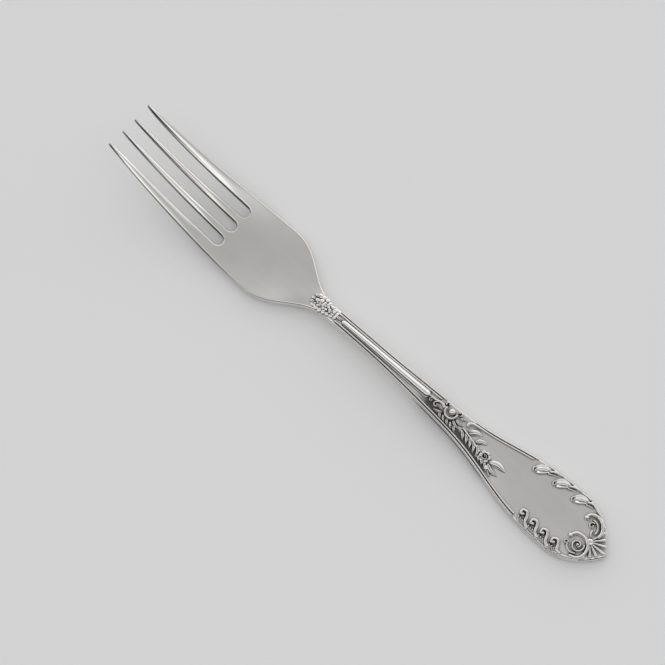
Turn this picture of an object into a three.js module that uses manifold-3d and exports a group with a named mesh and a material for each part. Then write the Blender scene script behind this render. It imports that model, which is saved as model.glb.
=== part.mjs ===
// Dessert fork of polished silver: four tines, a dished palm, a reeded stem and a handle with raised ornament.
// Millimetres, +Z up. X runs along the fork from the tine tips to the handle's end, and Y across it.
// The origin is below the middle of the fork, on the surface that it lies on, tines upwards.
import * as THREE from "three";
import { mergeVertices } from "three/addons/utils/BufferGeometryUtils.js";
import Module from "manifold-3d";

const wasm = await Module();
wasm.setup();

const { lerp, smootherstep, degToRad } = THREE.MathUtils;

// Lengths along the fork, in the order in which they follow each other from the tips
const tineLength = 39; // tips to the bottom of the slots
const palmLength = 12; // slot bottoms to the palm's widest section
const shoulderLength = 24; // widest section to the neck
const straightLength = 21; // neck to where the stem begins to widen
const flareLength = 16; // widening stem, up to the handle
const swellLength = 45.7; // handle, up to its widest section
const endLength = 14.3; // widest section to the end

// Widths
const tipSpan = 15.9; // over the outer tines, at the tips
const palmWidth = 22;
const headFullness = 1.3; // shape of the head's outline: higher widens closer to the tips
const stemWidth = 4.5;
const stemFlare = 0.06; // growth of the stem's half width for each millimetre of length
const flareBlend = 8; // length over which the stem begins to widen
const handleWidth = 18.6;
const swellDelay = 1.3; // shape of the handle's sides: higher widens closer to the end
const endFlat = 1.2; // blunt point at the handle's end
const endFullness = 2.2; // shape of the handle's end: higher stays wide for longer
const endRoundness = 0.9; // shape of the handle's end: lower is blunter

// Heights and thicknesses
const tipRise = 11.5; // underside of the tips above the table
const archRise = 2; // underside of the stem's highest section above the table
const bellyLength = 9; // slot bottoms to the section that touches the table
const flatLength = 26; // last stretch of the handle, flat on the table
const tipThickness = 0.9;
const palmThickness = 1.9;
const neckThickness = 2.9;
const handleThickness = 2.1;
const dishDepth = 0.9; // hollow of the palm across its width
const stemCrown = 0.5; // bulge of the stem's top face
const handleCrown = 0.3; // bulge of the handle's top face
const edgeRound = 0.5; // rounding of the long edges

// Tines and slots
const slotWidth = 2.9; // at the slots' round bottoms
const innerTineWidth = 2.4; // at the root
const innerTipPitch = 4.6; // between the tips of the two inner tines
const tineTipWidth = 0.7;
const tineTaper = 0.6; // power of the tines' widening from tip to root

// Raised ornament
const solderGap = 0.08; // between an ornament and the face that it is soldered to
const threadWidth = 0.6; // one thread of the edge moulding
const threadHeight = 0.35;
const threadGap = 0.1; // outline to the outer thread, and from thread to thread and to the rib
const ribHeight = 0.6; // rib along the middle of the stem
const ornamentHeight = 0.65; // scrolls, buds and leaves
const scrollWidth = 0.8; // of a scroll's stroke
const shellRadius = 4.4;
const shellMargin = 1.4; // shell's rim to the handle's end
const shellFlutes = 7;
const shellSpread = 62; // degrees, from the middle flute to the outermost one
const upperScrollRadius = 2.3;
const lowerScrollRadius = 2.8;
const scrollShift = 0.5; // by which a scroll stands clear of the shell
const budCount = 3;
const budPitch = 6.35;
const curlCount = 4;
const curlPitch = 3.6;
const roseOffset = -1.6; // rose's middle from the fork's middle line
const roseRadius = 1.5;

// Places along the fork, from the tips
const rootAt = tineLength;
const tineEndAt = rootAt - slotWidth / 2; // tines end where the slots' round bottoms begin
const bellyAt = rootAt + bellyLength;
const palmAt = rootAt + palmLength;
const neckAt = palmAt + shoulderLength;
const flareAt = neckAt + straightLength;
const swellAt = flareAt + flareLength;
const widestAt = swellAt + swellLength;
const forkLength = widestAt + endLength;
const flatAt = forkLength - flatLength;

// Places of the threads across the fork, as insets of their middles from the outline
const outerInset = threadGap + threadWidth / 2;
const innerInset = outerInset + threadWidth + threadGap;

// Mesh fineness
const stationStep = 3; // length of a facet along the fork
const palmColumns = 12;
const tineColumns = 2;
const strokeSteps = 12;
const beadSides = 8;

// The fork's form: half width, underside, thickness and top face at a place along it

function stemHalfWidth(t) {
  const past = Math.min(t, widestAt) - flareAt;
  return stemWidth / 2 + (stemFlare * (past + Math.hypot(past, flareBlend))) / 2;
}

function halfWidth(t) {
  if (t < palmAt) {
    const filled = 1 - (1 - t / palmAt) ** headFullness;
    return lerp(tipSpan, palmWidth, filled) / 2;
  }
  const stem = stemHalfWidth(t);
  const swell = smootherstep(t, swellAt, widestAt) ** swellDelay;
  const handle = lerp(stem, handleWidth / 2, swell);
  const shoulder = 1 - smootherstep(t, palmAt, neckAt);
  const past = Math.max(0, t - widestAt) / endLength;
  const rounded = Math.max(0, 1 - past ** endFullness) ** endRoundness;
  return Math.max(endFlat / 2, lerp(handle, palmWidth / 2, shoulder) * rounded);
}

function underside(t) {
  if (t < bellyAt) return tipRise * (1 - t / bellyAt) ** 2;
  return archRise * (smootherstep(t, bellyAt, flareAt) - smootherstep(t, flareAt, flatAt));
}

function thickness(t) {
  const tine = lerp(tipThickness, palmThickness, smootherstep(t, 0, rootAt));
  const neck = lerp(tine, neckThickness, smootherstep(t, palmAt, neckAt));
  return lerp(neck, handleThickness, smootherstep(t, neckAt, widestAt));
}

function dish(t) {
  return dishDepth * (1 - smootherstep(t, palmAt, neckAt));
}

function crown(t) {
  const stem = stemCrown * smootherstep(t, palmAt, neckAt);
  return lerp(stem, handleCrown, smootherstep(t, swellAt, widestAt));
}

function bottomZ(t, y) {
  return underside(t) + dish(t) * (y / halfWidth(t)) ** 2;
}

function topZ(t, y) {
  return underside(t) + thickness(t) + (dish(t) - crown(t)) * (y / halfWidth(t)) ** 2;
}

// Solids

// A closed solid through rings of as many points each, every ring running from right to left over the top.
function loft(rings) {
  const around = rings[0].length;
  const positions = rings.flat().flatMap((p) => [p.x, p.y, p.z]);
  const index = [];
  for (let r = 0; r + 1 < rings.length; r++) {
    for (let i = 0; i < around; i++) {
      const a = r * around + i;
      const b = r * around + ((i + 1) % around);
      index.push(a, b + around, b, a, a + around, b + around);
    }
  }
  const last = (rings.length - 1) * around;
  for (let i = 1; i + 1 < around; i++) {
    index.push(0, i, i + 1);
    index.push(last, last + i + 1, last + i);
  }
  const geometry = new THREE.BufferGeometry();
  geometry.setAttribute("position", new THREE.Float32BufferAttribute(positions, 3));
  return geometry.setIndex(index);
}

function toSolid(geometry) {
  const bare = geometry.clone();
  bare.deleteAttribute("normal");
  bare.deleteAttribute("uv");
  const merged = mergeVertices(bare);
  return new wasm.Manifold(
    new wasm.Mesh({
      numProp: 3,
      vertProperties: merged.attributes.position.array,
      triVerts: new Uint32Array(merged.index.array),
    }),
  );
}

function toGeometry(solid) {
  const mesh = solid.getMesh();
  const geometry = new THREE.BufferGeometry();
  geometry.setAttribute("position", new THREE.BufferAttribute(mesh.vertProperties, 3));
  return geometry.setIndex(new THREE.BufferAttribute(mesh.triVerts, 1));
}

function unite(geometries) {
  return toGeometry(geometries.map(toSolid).reduce((whole, next) => whole.add(next)));
}

function cutFrom(geometry, cutters) {
  return toGeometry(cutters.map(toSolid).reduce((rest, cutter) => rest.subtract(cutter), toSolid(geometry)));
}

// A point of the fork, from its place along the fork and across it
function at(t, y, z) {
  return new THREE.Vector3(t - forkLength / 2, y, z);
}

// A point of an ornament, at a height above the soldered face
function onTop(t, y, height) {
  return at(t, y, topZ(t, y) + solderGap + height);
}

// Body of the fork

// The fork's section at t between two edges: top face, rounded edge, bottom face, rounded edge
function section(t, right, left, columns) {
  const round = Math.min(edgeRound, (left - right) / 4);
  const across = Array.from({ length: columns + 1 }, (_, i) => lerp(right + round, left - round, i / columns));
  const middle = (y) => at(t, y, (topZ(t, y) + bottomZ(t, y)) / 2);
  return [
    middle(right),
    ...across.map((y) => at(t, y, topZ(t, y))),
    middle(left),
    ...across.reverse().map((y) => at(t, y, bottomZ(t, y))),
  ];
}

function stations(from, to) {
  const count = Math.ceil((to - from) / stationStep);
  return Array.from({ length: count + 1 }, (_, i) => lerp(from, to, i / count));
}

function stretch(from, to) {
  return loft(stations(from, to).map((t) => section(t, -halfWidth(t), halfWidth(t), palmColumns)));
}

// Right and left edge of the outer or inner tine on the +Y side
function tineEdges(t, outer) {
  const grown = (t / tineEndAt) ** tineTaper;
  const innerRoot = (slotWidth + innerTineWidth) / 2;
  if (outer) {
    const rootWidth = halfWidth(tineEndAt) - 1.5 * slotWidth - innerTineWidth;
    return [halfWidth(t) - lerp(tineTipWidth, rootWidth, grown), halfWidth(t)];
  }
  const middle = lerp(innerTipPitch / 2, innerRoot, t / tineEndAt);
  const half = lerp(tineTipWidth, innerTineWidth, grown) / 2;
  return [middle - half, middle + half];
}

function tine(outer, side) {
  return loft(
    stations(0, tineEndAt).map((t) => {
      const [near, far] = tineEdges(t, outer);
      return side > 0 ? section(t, near, far, tineColumns) : section(t, -far, -near, tineColumns);
    }),
  );
}

// The palm, with the round bottoms of the three slots cut into its front edge
function palm() {
  const tall = 4 * (tipRise + palmThickness);
  const slots = [-1, 0, 1].map((k) => {
    const cutter = new THREE.CylinderGeometry(slotWidth / 2, slotWidth / 2, tall, 24);
    cutter.rotateX(Math.PI / 2);
    const middle = at(tineEndAt, k * (slotWidth + innerTineWidth), 0);
    return cutter.translate(middle.x, middle.y, middle.z);
  });
  return cutFrom(stretch(tineEndAt, neckAt), slots);
}

// Ornament strokes: each is laid on the top face along a plan curve of places along and across the fork

const strokeProfile = [
  [-1, 0],
  [-0.75, 0.65],
  [0, 1],
  [0.75, 0.65],
  [1, 0],
];

function stroke(curve, widthAt, heightAt, steps = strokeSteps) {
  const rings = [];
  for (let i = 0; i <= steps; i++) {
    const u = i / steps;
    const middle = curve.getPoint(u);
    const along = curve.getTangent(u);
    const half = widthAt(u) / 2;
    rings.push(
      strokeProfile.map(([across, up]) =>
        onTop(middle.x - along.y * across * half, middle.y + along.x * across * half, up * heightAt(u)),
      ),
    );
  }
  return loft(rings);
}

function curveThrough(...points) {
  return new THREE.SplineCurve(points.map(([t, y]) => new THREE.Vector2(t, y)));
}

// A scroll's line: an arc that tightens into a curl at its far end
function scrollLine(t, y, radius, fromDegrees, toDegrees, curl) {
  const points = Array.from({ length: strokeSteps + 1 }, (_, i) => {
    const u = i / strokeSteps;
    const angle = degToRad(lerp(fromDegrees, toDegrees, u));
    const reach = radius * lerp(1, curl, smootherstep(u, 0.4, 1));
    return [t + reach * Math.cos(angle), y + reach * Math.sin(angle)];
  });
  return curveThrough(...points);
}

function bead(t, y, radius, height) {
  const rise = [0, 35, 70].map(degToRad);
  return loft(
    rise.map((up) =>
      Array.from({ length: beadSides }, (_, i) => {
        const angle = (-2 * Math.PI * i) / beadSides;
        const reach = radius * Math.cos(up);
        return onTop(t + reach * Math.cos(angle), y + reach * Math.sin(angle), height * Math.sin(up));
      }),
    ),
  );
}

const tapered = (root, tip) => (u) => lerp(root, tip, u);
const bulging = (width, end) => (u) => end + (width - end) * Math.sin(Math.PI * u) ** 0.8;

// A leaf from its stalk to its point, bent sideways by a share of its length
function leaf(from, to, width, bend = 0.12) {
  const [t0, y0] = from;
  const [t1, y1] = to;
  const middle = [(t0 + t1) / 2 - bend * (y1 - y0), (y0 + y1) / 2 + bend * (t1 - t0)];
  return stroke(curveThrough(from, middle, to), bulging(width, 0.2), bulging(ornamentHeight, 0.2), 8);
}

function flower(t, y, radius, petals) {
  const pieces = [bead(t, y, radius * 0.45, ornamentHeight)];
  for (let i = 0; i < petals; i++) {
    const angle = (2 * Math.PI * i) / petals;
    const reach = radius * 0.58;
    const place = [t + reach * Math.cos(angle), y + reach * Math.sin(angle)];
    pieces.push(bead(...place, radius * 0.42, ornamentHeight * 0.75));
  }
  return pieces;
}

// A thread of the edge moulding, at an inset from the outline on one side
function thread(side, inset, from, to) {
  const places = stations(from, to).map((t) => [t, side * (halfWidth(t) - inset)]);
  const line = curveThrough(...places);
  return stroke(line, () => threadWidth, () => threadHeight, places.length - 1);
}

// Half width that the threads leave free between them
function clearHalf(t) {
  return halfWidth(t) - innerInset - threadWidth / 2 - threadGap;
}

// A point inwards from the outline, at a distance from the handle's end
function inside(side, fromEnd, inset) {
  const t = forkLength - fromEnd;
  return [t, side * (halfWidth(t) - inset)];
}

const scrollStroke = (line) => stroke(line, tapered(scrollWidth, scrollWidth * 0.7), () => ornamentHeight);

function shell() {
  const middle = forkLength - shellMargin - shellRadius;
  const pieces = [bead(middle, 0, 1.3, ornamentHeight)];
  for (let i = 0; i < shellFlutes; i++) {
    const angle = degToRad(lerp(-shellSpread, shellSpread, i / (shellFlutes - 1)));
    const ray = (reach) => [middle + reach * Math.cos(angle), reach * Math.sin(angle)];
    const line = curveThrough(ray(0.6), ray(shellRadius / 2), ray(shellRadius));
    pieces.push(stroke(line, tapered(0.3, 1.1), tapered(0.4, ornamentHeight), 6));
  }
  return unite(pieces);
}

function scrollFromEnd(radius) {
  return shellMargin + shellRadius + radius + scrollShift;
}

// A scroll beside the shell, with its curl and the bead in it
function endScroll(side, radius) {
  const [t, y] = inside(side, scrollFromEnd(radius), radius * 1.62);
  const line = side > 0 ? scrollLine(t, y, radius, -35, 260, 0.5) : scrollLine(t, y, radius, 35, -260, 0.5);
  const tip = line.getPoint(1);
  return unite([scrollStroke(line), bead(tip.x, tip.y, scrollWidth * 0.75, ornamentHeight)]);
}

// A curl that rises from the edge like the crest of a wave
function edgeCurl(fromEnd) {
  const point = (ahead, inset) => inside(-1, fromEnd - ahead, inset);
  const crest = [point(0.7, 2.4), point(-0.1, 3.1), point(-0.7, 2.5)];
  const line = curveThrough(point(2.7, 0.8), point(1.5, 1.3), ...crest);
  const tip = line.getPoint(1);
  return unite([scrollStroke(line), bead(tip.x, tip.y, scrollWidth * 0.7, ornamentHeight)]);
}

// A bud with the curl below it and the tail that runs out to the edge
function leafBud(fromEnd) {
  const point = (ahead, inset) => inside(1, fromEnd - ahead, inset);
  const tail = curveThrough(point(1.4, 1.6), point(2.6, 1), point(4.2, 0.6));
  return unite([
    leaf(point(-1.6, 3.9), point(1.9, 1.2), 1.9),
    stroke(tail, tapered(0.8, 0.35), tapered(ornamentHeight, 0.25), 6),
    bead(...point(-1.6, 3.9), 0.55, ornamentHeight),
  ]);
}

// The handle's upper inner thread, which starts in a hook
function hookedThread(from, to) {
  const start = [from, halfWidth(from) - innerInset];
  const hook = curveThrough([from - 2.1, start[1] - 2], [from - 1.9, start[1] - 0.8], start);
  return unite([
    thread(1, innerInset, from - 0.1, to),
    stroke(hook, tapered(scrollWidth, threadWidth), tapered(ornamentHeight, threadHeight), 8),
  ]);
}

// A ringed boss with leaves to both sides, as wide as the threads leave room for
function cartouche(t) {
  const reach = clearHalf(t);
  const y = 0.5 * reach;
  const ring = scrollLine(t, y, 0.8 * reach, 20, -290, 0.9);
  return unite([
    bead(t, y, 0.45 * reach, 0.85),
    bead(t, y, 0.68 * reach, 0.3),
    stroke(ring, () => 0.36 * reach, () => ornamentHeight, 16),
    leaf([t - 1, 0.4 * reach], [t - 8.5, 0.05 * reach], 0.6 * reach),
    leaf([t - 0.8, -0.05 * reach], [t - 5.2, -0.45 * reach], 0.4 * reach, 0.05),
    leaf([t + 0.6, -0.15 * reach], [t + 4.8, 0.05 * reach], 0.55 * reach, -0.1),
    leaf([t + 0.4, -0.2 * reach], [t + 4.4, -0.7 * reach], 0.45 * reach, -0.05),
  ]);
}

// A flower between leaves, as wide as the neck leaves room for
function neckCluster(t) {
  const reach = halfWidth(t) - outerInset;
  return unite([
    ...flower(t, 0, 0.52 * reach, 6),
    leaf([t + 0.6, 0], [t + 6.2, 0], 0.58 * reach, 0),
    leaf([t - 0.4, 0.1 * reach], [t - 4.2, 0.55 * reach], 0.48 * reach),
    leaf([t - 0.4, -0.1 * reach], [t - 4.2, -0.55 * reach], 0.48 * reach, -0.12),
    leaf([t + 1, 0.15 * reach], [t + 3, 0.5 * reach], 0.35 * reach),
    leaf([t + 1, -0.15 * reach], [t + 3, -0.5 * reach], 0.35 * reach, -0.12),
  ]);
}

// The rib between the stem's threads
function stemRib() {
  const middle = (ribFrom + ribTo) / 2;
  const line = curveThrough([ribFrom, 0], [middle, 0], [ribTo, 0]);
  return stroke(line, bulging(2 * clearHalf(middle), 0.5), bulging(ribHeight, 0.2), 16);
}

// The spray's stalk with two leaves, before the rose
function sprayUpperLeaves() {
  const stalk = curveThrough([roseAt - 8, 0.1], [roseAt - 5, -0.8], [roseAt - 1.7, roseOffset]);
  return unite([
    leaf([roseAt - 7.4, -0.2], [roseAt - 4, 1.9], 1.3),
    leaf([roseAt - 6, -0.7], [roseAt - 1.6, 0.9], 1.2),
    stroke(stalk, tapered(0.7, 0.5), () => ornamentHeight),
  ]);
}

// The two leaves behind the rose, with the bud that they grow from
function sprayLowerLeaves() {
  return unite([
    leaf([roseAt + 1.8, -2.1], [roseAt + 6.6, -1.3], 1.5),
    leaf([roseAt + 1.8, -2.3], [roseAt + 6, -3.5], 1.3, -0.12),
    bead(roseAt + 2, -2.2, 0.5, ornamentHeight),
  ]);
}

// Places of the single ornaments
const clusterAt = neckAt - 3.6;
const ribFrom = clusterAt + 7;
const cartoucheAt = swellAt + 4.7;
const ribTo = cartoucheAt - 9;
const hookFrom = swellAt + 12.4;
const roseAt = swellAt + 19;
const lastBudFromEnd = scrollFromEnd(upperScrollRadius) + upperScrollRadius + 3.7;
const lastCurlFromEnd = scrollFromEnd(lowerScrollRadius) + lowerScrollRadius + 0.5;
const budsFromEnd = repeated(budCount, budPitch, lastBudFromEnd);
const curlsFromEnd = repeated(curlCount, curlPitch, lastCurlFromEnd);
const threadStart = neckAt + 1.5;
const stemThreadEnd = cartoucheAt - 3;
const threadStagger = 1; // by which an upper inner thread stops before the outer one
const upperThreadEnd = forkLength - Math.max(...budsFromEnd) - 2.6;
const lowerThreadEnd = forkLength - Math.max(...curlsFromEnd) - 1.8;

function repeated(count, pitch, last) {
  return Array.from({ length: count }, (_, i) => last + pitch * (count - 1 - i));
}

// Assembly

function silver(roughness) {
  return new THREE.MeshStandardMaterial({ color: 0xc8c6c2, metalness: 1, roughness });
}

const plainRoughness = 0.16;
const reliefRoughness = 0.24;
const fork = new THREE.Group();

function add(name, geometry, roughness) {
  const mesh = new THREE.Mesh(geometry, silver(roughness));
  mesh.name = name;
  fork.add(mesh);
}

function addRelief(name, geometry) {
  add(name, geometry, reliefRoughness);
}

add("tine_1", tine(true, -1), plainRoughness);
add("tine_2", tine(false, -1), plainRoughness);
add("tine_3", tine(false, 1), plainRoughness);
add("tine_4", tine(true, 1), plainRoughness);
add("palm", palm(), plainRoughness);
add("stem", stretch(neckAt, swellAt), plainRoughness);
add("handle", stretch(swellAt, forkLength), plainRoughness);

addRelief("neck_flower_cluster", neckCluster(clusterAt));
addRelief("stem_rib", stemRib());
addRelief("upper_outer_stem_thread", thread(1, outerInset, threadStart, stemThreadEnd));
addRelief("upper_inner_stem_thread", thread(1, innerInset, threadStart, stemThreadEnd - threadStagger));
addRelief("lower_outer_thread", thread(-1, outerInset, threadStart, lowerThreadEnd));
addRelief("lower_inner_thread", thread(-1, innerInset, threadStart, lowerThreadEnd));
addRelief("upper_outer_handle_thread", thread(1, outerInset, hookFrom - 0.4, upperThreadEnd));
addRelief("upper_inner_handle_thread", hookedThread(hookFrom, upperThreadEnd - threadStagger));
addRelief("scroll_cartouche", cartouche(cartoucheAt));
addRelief("spray_upper_leaves", sprayUpperLeaves());
addRelief("spray_rose", unite(flower(roseAt, roseOffset, roseRadius, 6)));
addRelief("spray_lower_leaves", sprayLowerLeaves());
budsFromEnd.forEach((fromEnd, i) => addRelief(`leaf_bud_${i + 1}`, leafBud(fromEnd)));
curlsFromEnd.forEach((fromEnd, i) => addRelief(`edge_curl_${i + 1}`, edgeCurl(fromEnd)));
addRelief("upper_end_scroll", endScroll(1, upperScrollRadius));
addRelief("lower_end_scroll", endScroll(-1, lowerScrollRadius));
addRelief("shell_finial", shell());

export default fork;
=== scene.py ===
"""Dessert fork of polished silver, with raised scrolls, leaves and a shell on its handle, on a pale floor.

Lengths in the functions are in millimetres: t runs along the fork from the tine tips, y across it and z up.
Meshes are written in metres, in the frame's own axes.
"""
import math

import bpy
import numpy as np
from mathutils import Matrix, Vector


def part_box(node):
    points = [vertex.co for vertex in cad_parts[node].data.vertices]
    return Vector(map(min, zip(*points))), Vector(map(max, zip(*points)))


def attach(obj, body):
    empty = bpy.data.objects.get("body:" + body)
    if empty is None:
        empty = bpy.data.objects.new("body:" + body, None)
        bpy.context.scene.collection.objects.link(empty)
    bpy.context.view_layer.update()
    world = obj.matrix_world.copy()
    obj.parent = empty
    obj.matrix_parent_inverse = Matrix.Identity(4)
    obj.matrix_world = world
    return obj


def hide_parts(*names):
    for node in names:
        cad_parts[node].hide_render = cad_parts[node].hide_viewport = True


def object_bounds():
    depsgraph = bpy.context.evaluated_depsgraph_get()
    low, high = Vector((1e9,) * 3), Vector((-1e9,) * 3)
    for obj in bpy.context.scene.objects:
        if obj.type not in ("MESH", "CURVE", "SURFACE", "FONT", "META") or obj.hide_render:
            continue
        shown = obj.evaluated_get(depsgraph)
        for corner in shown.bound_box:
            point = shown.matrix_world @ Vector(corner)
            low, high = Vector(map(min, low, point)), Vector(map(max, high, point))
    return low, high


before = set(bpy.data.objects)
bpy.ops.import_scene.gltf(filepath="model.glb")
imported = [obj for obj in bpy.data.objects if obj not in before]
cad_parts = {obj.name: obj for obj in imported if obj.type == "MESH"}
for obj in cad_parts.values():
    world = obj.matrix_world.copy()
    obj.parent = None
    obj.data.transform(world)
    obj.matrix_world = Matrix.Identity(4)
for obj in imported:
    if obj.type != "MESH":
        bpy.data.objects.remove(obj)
CAD_LOW, CAD_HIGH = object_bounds()

MM = 0.001
ROOT = "root"


def station(node, end):
    """Place along the fork, in millimetres from the tips, where a node begins (0) or ends (1)."""
    return (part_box(node)[end].x - CAD_LOW.x) / MM


def width_of(node):
    low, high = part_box(node)
    return (high.y - low.y) / MM


# Sizes that follow the frame
LENGTH = station("handle", 1)
TINE_END = station("palm", 0)
NECK = station("stem", 0)
SWELL = station("handle", 0)
PALM_WIDTH = width_of("palm")
HANDLE_WIDTH = width_of("handle")

# Form of the body
SLOT_WIDTH = 2.9
INNER_TINE = 2.4
SLOT_PITCH = SLOT_WIDTH + INNER_TINE
SLOT_BOTTOM = TINE_END + SLOT_WIDTH / 2
PALM_AT = NECK - 24
BELLY_AT = SLOT_BOTTOM + 9
FLARE_AT = NECK + 21
END_LENGTH = 14.3
END_FULLNESS, END_ROUNDNESS = 2.2, 0.9
WIDEST = LENGTH - END_LENGTH
FLAT_AT = LENGTH - 26
TIP_SPAN = 15.9
TIP_WIDTH = 0.7
INNER_TIP = 2.3
TINE_TAPER = 0.6
HEAD_FULLNESS = 1.3
STEM_WIDTH = 4.5
STEM_FLARE = 0.06
FLARE_BLEND = 8
SWELL_DELAY = 1.3
TIP_RISE = 11.5
ARCH_RISE = 2
TIP_THICK, PALM_THICK, NECK_THICK, HANDLE_THICK = 0.9, 1.9, 2.9, 2.1
DISH = 0.9
STEM_CROWN, HANDLE_CROWN, TINE_CROWN = 0.5, 0.3, 0.2
CROWN_FADE = 14
RIM_TIP, RIM_ROOT, RIM_HANDLE = 0.28, 0.5, 0.55
BLUNT_POINT = 0.35
LEAST_HALF = 0.5

# Fineness of the body's mesh
ROW_STEP = 0.6
TINE_COLUMNS = 8
GAP_COLUMNS = 10
ROOT_ROWS = 12
END_ROWS = 44
RIM_STEPS = 9
ROOT_REACH = 7
ROOT_BLEND = 4


def smoother(x, low, high):
    u = np.clip((np.asarray(x, float) - low) / (high - low), 0, 1)
    return u**3 * (u * (6 * u - 15) + 10)


def lerp(a, b, u):
    return a + (b - a) * u


# Form of the body at a place along it

def half_width(t):
    t = np.asarray(t, float)
    ahead = 1 - np.clip(t / PALM_AT, 0, 1)
    head = lerp(TIP_SPAN, PALM_WIDTH, 1 - ahead**HEAD_FULLNESS) / 2
    past = np.minimum(t, WIDEST) - FLARE_AT
    stem = STEM_WIDTH / 2 + STEM_FLARE * (past + np.hypot(past, FLARE_BLEND)) / 2
    handle = lerp(stem, HANDLE_WIDTH / 2, smoother(t, SWELL, WIDEST) ** SWELL_DELAY)
    tail = lerp(PALM_WIDTH / 2, handle, smoother(t, PALM_AT, NECK))
    return np.where(t < PALM_AT, head, tail * end_shape(t, END_LENGTH))


def end_shape(t, length):
    """Share of the width that is left towards the handle's pointed end."""
    u = np.clip((np.asarray(t, float) - WIDEST) / length, 0, 1)
    return (1 - u**END_FULLNESS) ** END_ROUNDNESS


def rim(t):
    """Width of the rounded rim."""
    head = lerp(RIM_TIP, RIM_ROOT, smoother(t, 0, TINE_END))
    return lerp(head, RIM_HANDLE, smoother(t, SLOT_BOTTOM, PALM_AT))


def underside(t):
    t = np.asarray(t, float)
    curve = TIP_RISE * np.clip(1 - t / BELLY_AT, 0, 1) ** 2
    arch = smoother(t, BELLY_AT, FLARE_AT) - smoother(t, FLARE_AT, FLAT_AT)
    return curve + ARCH_RISE * arch


def thickness(t):
    tine = lerp(TIP_THICK, PALM_THICK, smoother(t, 0, SLOT_BOTTOM))
    neck = lerp(tine, NECK_THICK, smoother(t, PALM_AT, NECK))
    return lerp(neck, HANDLE_THICK, smoother(t, NECK, WIDEST))


def dish(t):
    return DISH * (1 - smoother(t, PALM_AT, NECK))


def crown(t):
    return lerp(STEM_CROWN * smoother(t, PALM_AT, NECK), HANDLE_CROWN, smoother(t, SWELL, WIDEST))


def bottom_z(t, y):
    return underside(t) + dish(t) * across(t, y)


def top_z(t, y):
    return underside(t) + thickness(t) + (dish(t) - crown(t)) * across(t, y)


def across(t, y):
    """Squared place across the width, 0 in the middle and 1 at the outline."""
    return np.minimum(1, (np.asarray(y, float) / np.maximum(half_width(t), LEAST_HALF)) ** 2)


def edge(t, inset, side=1):
    """Point at an inset from the outline on one side."""
    return (t, side * float(half_width(t) - inset))


# Meshes

def make_piece(name, points, faces, material, nodes):
    """A smooth mesh from points in millimetres, which rides with the body and stands for CAD nodes."""
    origin = np.array([CAD_LOW.x / MM, 0, 0])
    mesh = bpy.data.meshes.new(name)
    mesh.from_pydata(((np.asarray(points) + origin) * MM).tolist(), [], faces)
    mesh.validate()
    mesh.polygons.foreach_set("use_smooth", [True] * len(mesh.polygons))
    mesh.materials.append(material)
    piece = bpy.data.objects.new(name, mesh)
    bpy.context.scene.collection.objects.link(piece)
    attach(piece, ROOT)
    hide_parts(*nodes)
    return piece


class Plan:
    """Quads of the fork's face in plan, with the heights of the top and the bottom at each corner."""

    def __init__(self):
        self.places, self.heights, self.quads, self.index = [], [], [], {}

    def corner(self, t, y, sunk):
        key = (round(t, 4), round(y, 4))
        if key not in self.index:
            self.index[key] = len(self.places)
            self.places.append((t, y))
            self.heights.append((float(top_z(t, y)) - sunk, float(bottom_z(t, y))))
        return self.index[key]

    def patch(self, t, y, sunk):
        ids = [
            [self.corner(*c) for c in zip(*row)]
            for row in zip(t.tolist(), y.tolist(), sunk.tolist())
        ]
        for near, far in zip(ids, ids[1:]):
            for c in range(len(near) - 1):
                self.quads.append((near[c], far[c], far[c + 1], near[c + 1]))


def tine_edges(t, outer):
    """Inner and outer edge of a tine on the +Y side."""
    grown = (t / TINE_END) ** TINE_TAPER
    root_width = half_width(TINE_END) - 1.5 * SLOT_WIDTH - INNER_TINE
    if outer:
        return half_width(t) - lerp(TIP_WIDTH, root_width, grown), half_width(t)
    middle = lerp(INNER_TIP, SLOT_PITCH / 2, t / TINE_END)
    half = lerp(TIP_WIDTH, INNER_TINE, grown) / 2
    return middle - half, middle + half


def add_tine(plan, outer, side):
    rows = np.linspace(RIM_TIP, TINE_END, int(TINE_END / ROW_STEP))
    share = np.linspace(0, 1, TINE_COLUMNS + 1)
    near, far = tine_edges(rows, outer)
    low, high = near + rim(rows), far - rim(rows)
    if side < 0:
        low, high = -high, -low
    y = lerp(low[:, None], high[:, None], share)
    t = np.repeat(rows[:, None], len(share), axis=1)
    fade = 1 - smoother(rows, TINE_END - CROWN_FADE, TINE_END)
    sunk = TINE_CROWN * fade[:, None] * (2 * share - 1) ** 2
    plan.patch(t, y, sunk)


def root_columns():
    """Places across the fork at the tines' ends, and where each column starts behind its tine or slot."""
    reach = SLOT_WIDTH / 2 + RIM_ROOT
    outline = float(half_width(TINE_END)) - RIM_ROOT
    bounds = [-outline, *[k * SLOT_PITCH + s * reach for k in (-1, 0, 1) for s in (-1, 1)], outline]
    turn = np.linspace(0, math.pi, GAP_COLUMNS + 1)[1:-1]
    y, start = [], []
    for k, (low, high) in enumerate(zip(bounds, bounds[1:])):
        if k % 2 == 0:
            y.extend(np.linspace(low, high, TINE_COLUMNS + 1))
            start.extend([TINE_END] * (TINE_COLUMNS + 1))
        else:
            y.extend((low + high) / 2 - reach * np.cos(turn))
            start.extend(TINE_END + reach * np.sin(turn))
    return np.array(y), np.array(start)


def inset_half(t):
    """Half width of the face inside the rim, down to a blunt point at the handle's end."""
    plain = half_width(np.minimum(t, WIDEST)) - rim(t)
    return np.maximum(BLUNT_POINT, plain * end_shape(t, END_LENGTH - RIM_HANDLE))


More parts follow.
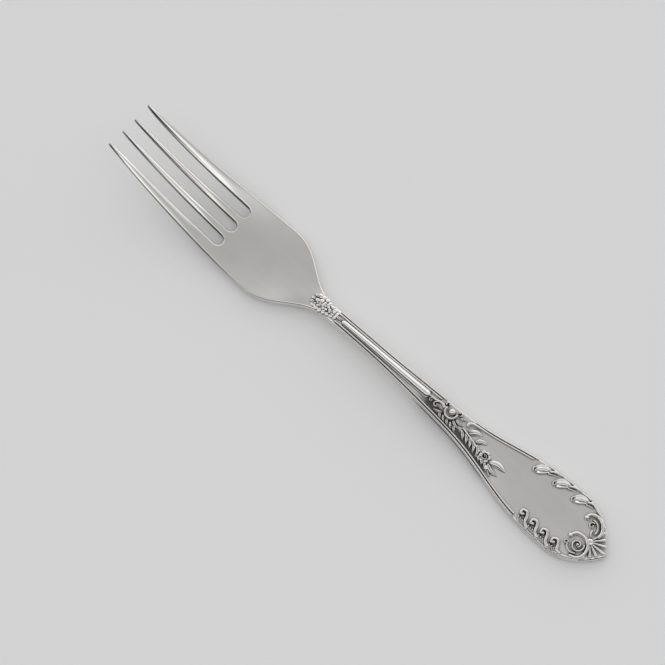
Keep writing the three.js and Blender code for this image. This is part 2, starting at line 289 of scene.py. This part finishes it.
def add_palm_and_handle(plan):
    y, start = root_columns()
    root_end = TINE_END + ROOT_REACH
    share = np.linspace(0, 1, ROOT_ROWS + 1)[:, None]
    t_root = lerp(start[None, :], root_end, share)
    rows = np.linspace(root_end, WIDEST, int((WIDEST - root_end) / ROW_STEP))
    turn = np.linspace(0, math.pi / 2, END_ROWS)
    last = WIDEST + (END_LENGTH - RIM_HANDLE) * np.sin(turn[1:])
    t_main = np.repeat(np.concatenate([rows, last])[:, None], len(y), axis=1)
    for t in (t_root, t_main):
        scale = inset_half(t) / inset_half(TINE_END)
        scale = np.where(t <= SLOT_BOTTOM + RIM_ROOT, lerp(1, scale, (t - TINE_END) / ROOT_BLEND), scale)
        plan.patch(t, y[None, :] * scale, np.zeros_like(t))


def boundary_of(quads):
    """Directed edges that belong to one quad only."""
    edges = {(q[i], q[(i + 1) % 4]) for q in quads for i in range(4)}
    return [e for e in sorted(edges) if (e[1], e[0]) not in edges]


def thicken(plan):
    """Closes the face into a solid: a copy below it, and a half-round rim between the two."""
    places = np.array(plan.places)
    heights = np.array(plan.heights)
    count = len(places)
    boundary = boundary_of(plan.quads)
    outward = np.zeros((count, 2))
    for a, b in boundary:
        d = places[b] - places[a]
        out = np.array([d[1], -d[0]]) / np.linalg.norm(d)
        outward[a] += out
        outward[b] += out
    points = [np.column_stack([places, heights[:, 0]]), np.column_stack([places, heights[:, 1]])]
    ring = sorted({a for a, _ in boundary})
    place_in_ring = {v: i for i, v in enumerate(ring)}
    out = outward[ring] / np.linalg.norm(outward[ring], axis=1)[:, None]
    middle = heights[ring].mean(axis=1)
    half = (heights[ring, 0] - heights[ring, 1]) / 2
    reach = rim(places[ring, 0])
    for turn in np.linspace(math.pi / 2, -math.pi / 2, RIM_STEPS + 1)[1:-1]:
        outer = places[ring] + out * (reach * math.cos(turn))[:, None]
        points.append(np.column_stack([outer, middle + half * math.sin(turn)]))

    def level(v, k):
        if k == 0:
            return v
        if k == RIM_STEPS:
            return count + v
        return 2 * count + (k - 1) * len(ring) + place_in_ring[v]

    faces = [tuple(q) for q in plan.quads]
    faces += [tuple(count + v for v in reversed(q)) for q in plan.quads]
    for a, b in boundary:
        for k in range(RIM_STEPS):
            faces.append((level(b, k), level(a, k), level(a, k + 1), level(b, k + 1)))
    return np.concatenate(points), faces


def make_body(material):
    plan = Plan()
    for side in (-1, 1):
        for outer in (True, False):
            add_tine(plan, outer, side)
    add_palm_and_handle(plan)
    points, faces = thicken(plan)
    nodes = ["tine_1", "tine_2", "tine_3", "tine_4", "palm", "stem", "handle"]
    return make_piece("fork_body", points, faces, material, nodes)


# Raised ornament: shells that stand on the top face, with their base sunk a little below it

SINK = 0.15
ORNAMENT = 0.8
PROFILE_POINTS = 15


def round_profile(v):
    return np.sqrt(np.maximum(0, 1 - v**2))


def leaf_profile(v):
    """Two swelling halves with a vein between them."""
    return np.maximum(0, 1 - v**2) ** 0.7 * (1 - 0.55 * np.exp(-((v / 0.16) ** 2)))


def cup_profile(v):
    """A raised border round a hollow."""
    return np.maximum(0, 1 - v**8) ** 0.6 * (0.25 + 0.75 * v**2)


def ridge_profile(v):
    """A broad flank above and a steep one below, which meet in a soft ridge."""
    ridge = -0.2
    flank = np.where(v < ridge, (1 + v) / (1 + ridge), (1 - v) / (1 - ridge))
    return np.sin(math.pi / 2 * flank) ** 0.9


def spline(points, samples):
    """Smooth curve through the points."""
    p = np.asarray(points, float)
    p = np.vstack([2 * p[0] - p[1], p, 2 * p[-1] - p[-2]])
    u = np.linspace(0, len(p) - 3, samples)
    k = np.minimum(u.astype(int), len(p) - 4)
    f = (u - k)[:, None]
    a, b, c, d = p[k], p[k + 1], p[k + 2], p[k + 3]
    square = 2 * a - 5 * b + 4 * c - d
    cube = 3 * b - a - 3 * c + d
    return 0.5 * (2 * b + (c - a) * f + square * f**2 + cube * f**3)


def spiral(t, y, start_radius, end_radius, start, end):
    """Points of a spiral about (t, y), with its angles in degrees."""
    u = np.linspace(0, 1, 24)
    angle = np.radians(lerp(start, end, u))
    radius = lerp(start_radius, end_radius, u)
    return np.column_stack([t + radius * np.cos(angle), y + radius * np.sin(angle)])


class Relief:
    """Collects the shells of one ornament."""

    def __init__(self):
        self.points, self.faces, self.count = [], [], 0

    def shell(self, rings):
        """Closed shell through rings of as many points each."""
        steps, around = rings.shape[:2]
        base = self.count
        self.points.append(rings.reshape(-1, 3))
        self.count += steps * around
        for r in range(steps - 1):
            for i in range(around):
                a = base + r * around + i
                b = base + r * around + (i + 1) % around
                self.faces.append((a, a + around, b + around, b))
        last = base + (steps - 1) * around
        self.faces.append(tuple(base + i for i in range(around)))
        self.faces.append(tuple(last + i for i in reversed(range(around))))

    def stroke(
        self, points, width, height=ORNAMENT, taper=1.0, profile=round_profile, samples=40, leaf=False
    ):
        """Shell swept along a plan curve. taper is the width at the far end as a share of the near end's."""
        path = spline(points, samples)
        step = np.linalg.norm(np.diff(path, axis=0), axis=1)
        run = np.concatenate([[0], np.cumsum(step)])
        u = run / run[-1]
        half = width / 2 * lerp(1, taper, u)
        if leaf:
            shape = np.sin(math.pi * np.clip(u, 0.012, 0.988) ** 0.8) ** 0.75
        else:
            ends = np.minimum(run, run[-1] - run) / half
            shape = np.sqrt(np.maximum(0.02, 1 - np.clip(1 - ends, 0, 1) ** 2))
        along = np.gradient(path, axis=0)
        along /= np.linalg.norm(along, axis=1)[:, None]
        normal = np.column_stack([-along[:, 1], along[:, 0]])
        v = np.sin(np.linspace(-math.pi / 2, math.pi / 2, PROFILE_POINTS))
        v = np.concatenate([[-1], v, [1]])
        up = np.concatenate([[-SINK], np.zeros(PROFILE_POINTS), [-SINK]])
        rise = np.concatenate([[0], profile(v[1:-1]), [0]])
        plan = path[:, None, :] + normal[:, None, :] * (half * shape)[:, None, None] * v[None, :, None]
        tall = (height * lerp(1, taper, u) * shape)[:, None] * rise[None, :] + up[None, :]
        z = top_z(plan[..., 0], plan[..., 1]) + tall
        self.shell(np.concatenate([plan, z[..., None]], axis=2))

    def leaf(self, start, end, width, bend=0.12, height=ORNAMENT, profile=leaf_profile):
        """Leaf from its stalk to its point, bent sideways by a share of its length."""
        (t0, y0), (t1, y1) = start, end
        middle = ((t0 + t1) / 2 - bend * (y1 - y0), (y0 + y1) / 2 + bend * (t1 - t0))
        self.stroke([start, middle, end], width, height, profile=profile, samples=28, leaf=True)

    def dome(self, t, y, radius, height=ORNAMENT, stretch=1.0, turn=0.0):
        """Bead or petal: an oval dome, stretched along a direction given in degrees."""
        rise = np.linspace(0, math.pi / 2 - 0.08, 8)
        angle = -np.linspace(0, 2 * math.pi, 20, endpoint=False)
        c, s = math.cos(math.radians(turn)), math.sin(math.radians(turn))
        rings = []
        for k, up in enumerate([0, *rise]):
            a = radius * stretch * math.cos(up) * np.cos(angle)
            b = radius * math.cos(up) * np.sin(angle)
            pt, py = t + a * c - b * s, y + a * s + b * c
            tall = -SINK if k == 0 else height * math.sin(up)
            rings.append(np.column_stack([pt, py, top_z(pt, py) + tall]))
        self.shell(np.array(rings))

    def flower(self, t, y, radius, petals, height=ORNAMENT):
        for i in range(petals):
            turn = 360 * i / petals + 15
            reach = 0.6 * radius
            pt, py = t + reach * math.cos(math.radians(turn)), y + reach * math.sin(math.radians(turn))
            self.dome(pt, py, 0.34 * radius, 0.75 * height, 1.25, turn)
        self.dome(t, y, 0.34 * radius, height)

    def curl(self, t, y, radius, start, end, width, tight=0.35, height=ORNAMENT):
        """Spiral stroke that ends in a bead."""
        path = spiral(t, y, radius, radius * tight, start, end)
        self.stroke(path, width, height, 0.8)
        self.dome(*path[-1], width * 0.62, height * 1.1)

    def make(self, name, material):
        return make_piece(name, np.concatenate(self.points), self.faces, material, [name])


# Threads of the edge moulding and the rib of the stem

THREAD_WIDTH = 0.6
THREAD_HEIGHT = 0.42
THREAD_GAP = 0.1
OUTER_INSET = THREAD_GAP + THREAD_WIDTH / 2
INNER_INSET = OUTER_INSET + THREAD_WIDTH + THREAD_GAP
THREAD_START = NECK + 1.5
CARTOUCHE_AT = SWELL + 4.7
HOOK_AT = SWELL + 12.4
ROSE_AT = SWELL + 19


def thread_points(side, inset, start, end):
    return [edge(t, inset, side) for t in np.linspace(start, end, max(4, int((end - start) / 3)))]


def make_threads(material):
    upper_end = station("upper_outer_handle_thread", 1)
    lower_end = station("lower_outer_thread", 1)
    runs = {
        "upper_outer_stem_thread": thread_points(1, OUTER_INSET, THREAD_START, CARTOUCHE_AT - 3),
        "upper_inner_stem_thread": thread_points(1, INNER_INSET, THREAD_START, CARTOUCHE_AT - 4),
        "lower_outer_thread": thread_points(-1, OUTER_INSET, THREAD_START, lower_end),
        "lower_inner_thread": thread_points(-1, INNER_INSET, THREAD_START, lower_end),
        "upper_outer_handle_thread": thread_points(1, OUTER_INSET, HOOK_AT - 1, upper_end),
    }
    for name, points in runs.items():
        relief = Relief()
        relief.stroke(points, THREAD_WIDTH, THREAD_HEIGHT, samples=120)
        relief.make(name, material)
    relief = Relief()
    start = HOOK_AT + 1.5
    inner = thread_points(1, INNER_INSET, start, upper_end - 1)
    relief.stroke(inner, THREAD_WIDTH, THREAD_HEIGHT, samples=90)
    hook = [
        (HOOK_AT - 1.9, 1.1),
        (HOOK_AT - 2.2, 2),
        (HOOK_AT - 1.5, 2.8),
        edge(HOOK_AT, INNER_INSET),
        edge(start + 2, INNER_INSET),
    ]
    relief.stroke(hook, 1.1, 0.8, 0.55)
    relief.make("upper_inner_handle_thread", material)


def make_rib(material):
    relief = Relief()
    low, high = station("stem_rib", 0), station("stem_rib", 1) + 2
    line = [(low, 0.1), (low + 9, 0.15), (high - 9, 0.35), (high, 0.6)]
    relief.stroke(line, 1.75, 0.62, 1.6, ridge_profile, 80)
    relief.make("stem_rib", material)


# Ornaments of the neck and of the widening stem

def make_neck_cluster(material):
    relief = Relief()
    t = NECK - 2.2
    for row in range(7):
        ahead = 1.15 * row - 3.4
        half = 2 - 0.28 * abs(row - 1.5)
        count = 4 if row % 2 else 3
        for y in np.linspace(-half, half, count):
            relief.dome(t + ahead, y, 0.72 - 0.03 * row, 0.42, 1.2, 40 * row)
    relief.flower(t - 0.4, 0.1, 1.4, 6, 0.75)
    relief.flower(t - 2.8, -0.5, 1.2, 5, 0.75)
    relief.flower(t + 1.9, 0, 1, 5, 0.7)
    relief.leaf((t - 3.4, 1), (t - 5, 1.6), 1.1)
    relief.leaf((t - 3.4, -1), (t - 5, -1.5), 1.1, -0.12)
    relief.leaf((t - 3.6, 0), (t - 5.4, 0.1), 1.1)
    relief.leaf((t + 3.6, 0), (t + 5.8, 0), 1, 0)
    relief.make("neck_flower_cluster", material)


def make_cartouche(material):
    relief = Relief()
    t, y = CARTOUCHE_AT, 1.15
    relief.dome(t + 0.1, y + 0.25, 1.05, 1)
    relief.stroke(spiral(t, y, 1.75, 1.75, 160, 385), 0.85, 0.9)
    relief.curl(t - 1.9, y + 1.2, 0.7, 250, 20, 0.6)
    relief.curl(t + 2.1, y + 1.35, 0.7, -70, 160, 0.6)
    relief.stroke([(t - 1.8, 0.8), (t - 3.4, 1.35), (t - 5.2, 0.9), (t - 7.6, 0.75)], 1.1, 0.8, 0.6)
    relief.curl(t - 8.1, 0.35, 0.65, 60, 330, 0.5)
    relief.curl(t - 4.4, -0.1, 0.8, 90, 400, 0.6)
    relief.curl(t - 6.2, 0, 0.55, 90, 400, 0.45)
    relief.leaf((t - 1.6, -0.3), (t - 4.4, -1.3), 0.9, 0.1)
    for ahead in (-2.6, -1.3, 0, 1.3, 2.6):
        relief.leaf((t + ahead, -0.7), edge(t + ahead + 1.9, 1.5, -1), 1, -0.1)
    relief.leaf((t + 1.5, 0), (t + 4.4, -0.9), 1.1, -0.1)
    relief.leaf((t + 1.8, 0.7), (t + 5, 0.5), 1.1, -0.1)
    relief.leaf((t + 2.6, 1.7), (t + 4.6, 2.4), 0.8, -0.1)
    relief.make("scroll_cartouche", material)


# Flower spray on the handle

def make_spray(material):
    t, y = ROSE_AT, -1.6
    upper = Relief()
    upper.stroke([(t - 9.5, 0.2), (t - 5, -0.7), (t - 1.7, y)], 0.7, 0.6)
    upper.leaf((t - 7.4, 0.1), (t - 3.9, 2.3), 2)
    upper.leaf((t - 7.6, 0.3), (t - 6.9, 2.2), 1.3, -0.1)
    upper.leaf((t - 4.6, -0.4), (t - 1.5, 1.2), 1.6)
    for ahead in (-9.4, -8, -6.6, -5.2, -3.8):
        low = edge(t + ahead + 2.2, 1.6, -1)
        upper.leaf((t + ahead, -0.4), low, 1.1, 0.1)
    upper.make("spray_upper_leaves", material)
    rose = Relief()
    petals = 6
    for i in range(petals):
        turn = 360 * i / petals + 20
        c, s = math.cos(math.radians(turn)), math.sin(math.radians(turn))
        rose.dome(t + 1.15 * c, y + 1.15 * s, 0.8, 0.6, 0.8, turn)
    rose.stroke(spiral(t, y, 1.1, 0.3, 0, 560), 0.45, 0.95)
    rose.dome(t, y, 0.32, 1)
    for ahead in (-1.8, -0.6, 0.6):
        rose.leaf((t + ahead, y - 1), edge(t + ahead + 1.6, 1.6, -1), 1, 0.1)
    rose.make("spray_rose", material)
    lower = Relief()
    lower.leaf((t + 1.7, y - 0.3), (t + 6.9, -1.1), 2, 0.12, 0.9)
    lower.leaf((t + 1.6, y - 0.8), (t + 6, -3.4), 1.4, -0.1)
    lower.stroke([(t + 0.8, -2.8), (t + 2.4, -3.6), (t + 4.4, -4.7)], 0.6, 0.6, 0.6)
    lower.dome(t + 2.3, -3.6, 0.7, 0.8, 1.3, -30)
    lower.make("spray_lower_leaves", material)


# Edge of the handle: buds above, curls below, and scrolls with a shell at the end

def make_buds(material):
    for i in range(3):
        relief = Relief()
        t = station(f"leaf_bud_{i + 1}", 0) + 2.1
        relief.leaf(edge(t - 1.9, 3.9), edge(t + 2.4, 1.1), 2.7, 0.1, 0.95, cup_profile)
        relief.leaf(edge(t - 1, 3.2), edge(t + 1.8, 1.5), 0.8, 0.05, 0.7, round_profile)
        relief.curl(t - 1.6, edge(t, 3.6)[1], 0.75, 80, 330, 0.6, 0.4, 0.9)
        relief.stroke([edge(t + 1.5, 1.7), edge(t + 3, 0.9), edge(t + 5.2, 0.5)], 1, 0.8, 0.5)
        relief.stroke([edge(t + 1.6, 2.4), edge(t + 2.8, 1.9), edge(t + 4, 1.5)], 0.7, 0.6, 0.5)
        relief.stroke([edge(t - 0.6, 0.7), edge(t + 0.6, 0.5), edge(t + 2.2, 0.5)], 0.6, 0.5)
        relief.make(f"leaf_bud_{i + 1}", material)


def make_curls(material):
    for i in range(4):
        relief = Relief()
        t = station(f"edge_curl_{i + 1}", 0) + 1.2
        crest = [
            edge(t + 3.4, 0.7, -1),
            edge(t + 1.7, 1.5, -1),
            edge(t + 1, 3, -1),
            edge(t + 0.2, 4, -1),
            edge(t - 0.9, 3.6, -1),
            edge(t - 0.8, 2.6, -1),
            edge(t, 2.7, -1),
        ]
        relief.stroke(crest, 1.15, 1, 0.75, samples=60)
        relief.dome(*edge(t - 0.2, 2.8, -1), 0.55, 1)
        for k in range(3):
            relief.leaf(edge(t + 0.4 - 0.7 * k, 2.1, -1), edge(t + 2.3 - 0.7 * k, 0.5, -1), 0.75, -0.12)
        relief.make(f"edge_curl_{i + 1}", material)


def make_end_scrolls(material):
    end = LENGTH
    upper = Relief()
    arm = [
        (end - 10.6, 4.6),
        (end - 10.1, 5.8),
        (end - 8.4, 6.5),
        (end - 6.3, 5.8),
        (end - 4.9, 3.9),
        (end - 4.8, 1.9),
    ]
    upper.stroke(arm, 1.1, 0.95)
    upper.dome(end - 10.4, 4.5, 0.75, 0.95)
    upper.stroke([(end - 9, 5.2), (end - 7.3, 4.9), (end - 6.2, 3.8), (end - 6, 2.2)], 0.7, 0.7)
    upper.curl(end - 8.1, 3.7, 0.9, 60, 380, 0.6)
    upper.stroke([(end - 7.2, 3), (end - 6.9, 1.9), (end - 6.2, 1.1)], 0.6, 0.6)
    upper.stroke([edge(end - 12.5, 0.7), edge(end - 9, 0.7), edge(end - 5, 0.7)], 0.9, 0.6)
    upper.make("upper_end_scroll", material)
    lower = Relief()
    arm = [
        (end - 10.6, -1.7),
        (end - 9.5, -0.3),
        (end - 7.2, 0),
        (end - 5.3, -1.3),
        (end - 4.7, -3.6),
        (end - 5.6, -5.5),
        (end - 7.7, -6.4),
    ]
    lower.stroke(arm, 1.1, 0.95)
    lower.dome(end - 10.5, -1.9, 0.75, 0.95)
    lower.stroke(spiral(end - 7.6, -2.8, 1.9, 0.5, 50, -420), 0.7, 0.8)
    lower.dome(end - 7.6, -2.7, 0.55, 0.95)
    lower.stroke([(end - 10.2, -3.7), (end - 9.4, -4.9), (end - 7.9, -5.4), (end - 6.4, -4.8)], 0.7, 0.7)
    lower.curl(end - 10.4, -4.1, 0.7, 0, 300, 0.55)
    lower.stroke([edge(end - 11.5, 0.7, -1), edge(end - 8, 0.7, -1), edge(end - 5, 0.7, -1)], 0.9, 0.6)
    lower.make("lower_end_scroll", material)


def reach_to_edge(t, turn, inset):
    """Distance from a point of the middle line to the outline, in a direction from the end."""
    radii = np.linspace(1, 8, 400)
    inside = radii * abs(math.sin(turn)) < half_width(t + radii * math.cos(turn)) - inset
    return radii[inside].max()


def make_shell(material):
    relief = Relief()
    middle = LENGTH - 5.8
    flutes, spread = 7, 72
    radius, inset = 5.3, 0.5
    for i in range(flutes):
        turn = math.radians(lerp(-spread, spread, i / (flutes - 1)))
        reach = min(radius, reach_to_edge(middle, turn, inset))
        ray = [(middle + r * math.cos(turn), r * math.sin(turn)) for r in (0.9, 0.5 * reach, reach)]
        relief.stroke(ray, 0.5, 0.36, 2.5, samples=24)
    relief.dome(middle + 0.2, 0, 1.1, 0.6)
    relief.make("shell_finial", material)


# Materials

def new_material(name):
    material = bpy.data.materials.new(name)
    material.use_nodes = True
    nodes = material.node_tree.nodes
    return material, nodes, material.node_tree.links, nodes["Principled BSDF"]


def ramp(nodes, links, source, stops):
    """Colour ramp from (place, grey or colour) stops."""
    node = nodes.new("ShaderNodeValToRGB")
    links.new(source, node.inputs["Fac"])
    elements = node.color_ramp.elements
    while len(elements) < len(stops):
        elements.new(0.5)
    for element, (place, value) in zip(elements, stops):
        element.position = place
        rgb = value if isinstance(value, tuple) else (value,) * 3
        element.color = (*rgb, 1)
    return node.outputs["Color"]


def noise(nodes, links, scale, detail=3.0, stretch=(1, 1, 1)):
    place = nodes.new("ShaderNodeTexCoord")
    mapping = nodes.new("ShaderNodeMapping")
    mapping.inputs["Scale"].default_value = stretch
    links.new(place.outputs["Object"], mapping.inputs["Vector"])
    node = nodes.new("ShaderNodeTexNoise")
    node.inputs["Scale"].default_value = scale
    node.inputs["Detail"].default_value = detail
    links.new(mapping.outputs["Vector"], node.inputs["Vector"])
    return node.outputs["Fac"]


def mix(nodes, links, fac, a, b, mode="MIX"):
    node = nodes.new("ShaderNodeMix")
    node.data_type = "RGBA"
    node.blend_type = mode
    if isinstance(fac, float):
        node.inputs["Factor"].default_value = fac
    else:
        links.new(fac, node.inputs["Factor"])
    for socket, value in ((node.inputs["A"], a), (node.inputs["B"], b)):
        if isinstance(value, tuple):
            socket.default_value = (*value, 1)
        else:
            links.new(value, socket)
    return node.outputs["Result"]


SILVER = (0.80, 0.785, 0.765)
SILVER_WARM = (0.72, 0.70, 0.675)
# Dark colour for tarnish with painted shade in the grooves, painted shade on the tine sides, and the darker
# ground below the cartouche
SHADE_AND_TARNISH = (0.045, 0.042, 0.04)
GROUND_SLOPE = 0.125
GROUND_EDGE = 0.0006
CLOUD_SCALE, WEAR_SCALE, SCRATCH_SCALE = 55, 900, 2600
SCRATCH_STRENGTH, SCRATCH_DEPTH = 0.06, 0.0002
FLOOR_GLOW = 0.07


def groove_tarnish_and_shade(nodes, links, distance):
    """Tarnish and painted shade: dark in the grooves round the relief, where polish doesn't reach and
    ambient occlusion is high.
    """
    node = nodes.new("ShaderNodeAmbientOcclusion")
    node.samples = 8
    node.inputs["Distance"].default_value = distance
    return ramp(nodes, links, node.outputs["AO"], [(0.38, 0.0), (0.88, 1.0)])


def painted_shade_on_tine_sides(nodes, links):
    """Painted shade: light on the faces, and dark on the steep sides of the tines and slots."""
    place = nodes.new("ShaderNodeTexCoord")
    side = nodes.new("ShaderNodeSeparateXYZ")
    links.new(place.outputs["Normal"], side.inputs[0])
    steep = nodes.new("ShaderNodeMath")
    steep.operation = "ABSOLUTE"
    links.new(side.outputs["Z"], steep.inputs[0])
    flat = ramp(nodes, links, steep.outputs[0], [(0.3, 0.0), (0.66, 1.0)])
    along = nodes.new("ShaderNodeSeparateXYZ")
    links.new(place.outputs["Object"], along.inputs[0])
    behind = nodes.new("ShaderNodeMapRange")
    links.new(along.outputs["X"], behind.inputs["Value"])
    behind.inputs["From Min"].default_value = CAD_LOW.x + SLOT_BOTTOM * MM
    behind.inputs["From Max"].default_value = CAD_LOW.x + (BELLY_AT + 2) * MM
    return mix(nodes, links, behind.outputs["Result"], flat, (1.0, 1.0, 1.0))


def darkened_ground(nodes, links):
    """Bright, but for the ground below the cartouche and the spray, down to the lower threads."""
    place = nodes.new("ShaderNodeTexCoord")
    split = nodes.new("ShaderNodeSeparateXYZ")
    links.new(place.outputs["Object"], split.inputs[0])
    fall = nodes.new("ShaderNodeVectorMath")
    fall.operation = "DOT_PRODUCT"
    fall.inputs[1].default_value = (GROUND_SLOPE, 1, 0)
    links.new(place.outputs["Object"], fall.inputs[0])
    below = nodes.new("ShaderNodeMapRange")
    links.new(fall.outputs["Value"], below.inputs["Value"])
    line = GROUND_SLOPE * (CAD_LOW.x + SWELL * MM) + GROUND_EDGE
    below.inputs["From Min"].default_value = line
    below.inputs["From Max"].default_value = line - GROUND_EDGE
    start = nodes.new("ShaderNodeMapRange")
    links.new(split.outputs["X"], start.inputs["Value"])
    start.inputs["From Min"].default_value = CAD_LOW.x + (SWELL - 6) * MM
    start.inputs["From Max"].default_value = CAD_LOW.x + (SWELL - 2) * MM
    end = nodes.new("ShaderNodeMapRange")
    links.new(split.outputs["X"], end.inputs["Value"])
    end.inputs["From Min"].default_value = CAD_LOW.x + (ROSE_AT + 5) * MM
    end.inputs["From Max"].default_value = CAD_LOW.x + (ROSE_AT + 1) * MM
    part = mix(nodes, links, start.outputs["Result"], (0.0, 0.0, 0.0), below.outputs["Result"])
    part = mix(nodes, links, end.outputs["Result"], (0.0, 0.0, 0.0), part)
    return mix(nodes, links, part, (1.0, 1.0, 1.0), (0.08, 0.08, 0.08))


def silver(name, low_rough, high_rough, groove, painted_shade_and_dark_ground=False):
    """Polished silver: cloudy colour, fine scratches along the fork, and tarnish with painted shade in its
    grooves; optionally also painted shade on the steep sides of the tines and a darker ground below the
    cartouche and the spray.
    """
    material, nodes, links, shader = new_material(name)
    cloud = ramp(nodes, links, noise(nodes, links, CLOUD_SCALE, 4), [(0.35, 0.0), (0.75, 1.0)])
    colour = mix(nodes, links, cloud, SILVER, SILVER_WARM)
    # Tarnish and painted shade in the grooves, from ambient occlusion
    colour = mix(nodes, links, groove_tarnish_and_shade(nodes, links, groove), SHADE_AND_TARNISH, colour)
    if painted_shade_and_dark_ground:
        # Painted shade on the steep sides of the tines and slots
        colour = mix(nodes, links, painted_shade_on_tine_sides(nodes, links), SHADE_AND_TARNISH, colour)
        # Darker ground below the cartouche and the spray
        colour = mix(nodes, links, darkened_ground(nodes, links), SHADE_AND_TARNISH, colour)
    links.new(colour, shader.inputs["Base Color"])
    shader.inputs["Metallic"].default_value = 1.0
    wear = noise(nodes, links, WEAR_SCALE, 2, (0.12, 1, 1))
    rough = ramp(nodes, links, wear, [(0.3, low_rough), (0.75, high_rough)])
    links.new(rough, shader.inputs["Roughness"])
    bump = nodes.new("ShaderNodeBump")
    bump.inputs["Strength"].default_value = SCRATCH_STRENGTH
    bump.inputs["Distance"].default_value = SCRATCH_DEPTH
    links.new(noise(nodes, links, SCRATCH_SCALE, 2, (0.05, 1, 1)), bump.inputs["Height"])
    links.new(bump.outputs["Normal"], shader.inputs["Normal"])
    return material


def floor_material():
    """Pale floor, with a weak glow of its own wherever it is seen, straight or in the metal."""
    material, nodes, links, shader = new_material("pale_floor")
    tone = ramp(nodes, links, noise(nodes, links, 6, 2), [(0.3, 0.80), (0.7, 0.81)])
    links.new(tone, shader.inputs["Base Color"])
    shader.inputs["Roughness"].default_value = 0.9
    shader.inputs["Specular IOR Level"].default_value = 0.0
    path = nodes.new("ShaderNodeLightPath")
    seen = path.outputs["Is Camera Ray"]
    for ray in ("Is Glossy Ray", "Is Transmission Ray"):
        either = nodes.new("ShaderNodeMath")
        either.operation = "MAXIMUM"
        links.new(seen, either.inputs[0])
        links.new(path.outputs[ray], either.inputs[1])
        seen = either.outputs[0]
    glow = nodes.new("ShaderNodeMath")
    glow.operation = "MULTIPLY"
    glow.inputs[1].default_value = FLOOR_GLOW
    links.new(seen, glow.inputs[0])
    shader.inputs["Emission Color"].default_value = (1, 1, 1, 1)
    links.new(glow.outputs[0], shader.inputs["Emission Strength"])
    return material


# Stage, light and camera

AZIMUTH, ELEVATION = 42.64, 74.0
CAMERA_DISTANCE = 0.600
LENS, SENSOR = 120.8, 36
AIM_RIGHT, AIM_UP = -0.0081, 0.0031
FLOOR_HALF = 6.0
FLOOR_DROP = 0.00002


def camera_axes():
    a, e = math.radians(AZIMUTH), math.radians(ELEVATION)
    back = Vector((math.sin(a) * math.cos(e), -math.cos(a) * math.cos(e), math.sin(e)))
    right = Vector((0, 0, 1)).cross(back).normalized()
    return back, right, back.cross(right)


def make_camera():
    back, right, up = camera_axes()
    camera = bpy.data.objects.new("camera", bpy.data.cameras.new("camera"))
    bpy.context.scene.collection.objects.link(camera)
    camera.data.lens = LENS
    camera.data.sensor_width = SENSOR
    camera.data.clip_start = 0.01
    camera.location = right * AIM_RIGHT + up * AIM_UP + back * CAMERA_DISTANCE
    camera.rotation_mode = "QUATERNION"
    camera.rotation_quaternion = (-back).to_track_quat("-Z", "Y")
    bpy.context.scene.camera = camera


def make_floor():
    mesh = bpy.data.meshes.new("floor")
    corners = [(x * FLOOR_HALF, y * FLOOR_HALF, 0) for x, y in ((-1, -1), (1, -1), (1, 1), (-1, 1))]
    mesh.from_pydata(corners, [], [(0, 1, 2, 3)])
    mesh.materials.append(floor_material())
    floor = bpy.data.objects.new("floor", mesh)
    bpy.context.scene.collection.objects.link(floor)
    floor.location.z = -FLOOR_DROP


# Brightness of the studio, by the angle from the near horizon over the top to the far one, in degrees
STUDIO = [
    (0, 0.45),
    (10, 0.12),
    (22, 0.04),
    (46, 0.05),
    (60, 1.1),
    (70, 1.35),
    (84, 0.74),
    (100, 0.52),
    (112, 0.5),
    (124, 0.62),
    (142, 1.15),
    (162, 1.5),
    (180, 1.3),
]


def make_world():
    world = bpy.data.worlds.new("studio")
    bpy.context.scene.world = world
    world.use_nodes = True
    nodes, links = world.node_tree.nodes, world.node_tree.links
    background = nodes["Background"]
    place = nodes.new("ShaderNodeTexCoord")
    a = math.radians(AZIMUTH)
    near = nodes.new("ShaderNodeVectorMath")
    near.operation = "DOT_PRODUCT"
    near.inputs[1].default_value = (math.sin(a), -math.cos(a), 0)
    links.new(place.outputs["Generated"], near.inputs[0])
    split = nodes.new("ShaderNodeSeparateXYZ")
    links.new(place.outputs["Generated"], split.inputs[0])
    angle = nodes.new("ShaderNodeMath")
    angle.operation = "ARCTAN2"
    links.new(split.outputs["Z"], angle.inputs[0])
    links.new(near.outputs["Value"], angle.inputs[1])
    share = nodes.new("ShaderNodeMath")
    share.operation = "DIVIDE"
    links.new(angle.outputs[0], share.inputs[0])
    share.inputs[1].default_value = math.pi
    stops = [(degrees / 180, value) for degrees, value in STUDIO]
    links.new(ramp(nodes, links, share.outputs[0], stops), background.inputs["Color"])


def main():
    plain = silver("polished_silver", 0.14, 0.26, 0.0009, True)
    relief = silver("relief_silver", 0.16, 0.3, 0.0006)
    make_body(plain)
    make_threads(relief)
    make_rib(relief)
    make_neck_cluster(relief)
    make_cartouche(relief)
    make_spray(relief)
    make_buds(relief)
    make_curls(relief)
    make_end_scrolls(relief)
    make_shell(relief)
    make_floor()
    make_world()
    make_camera()
    bpy.context.scene.view_settings.view_transform = "Standard"


main()
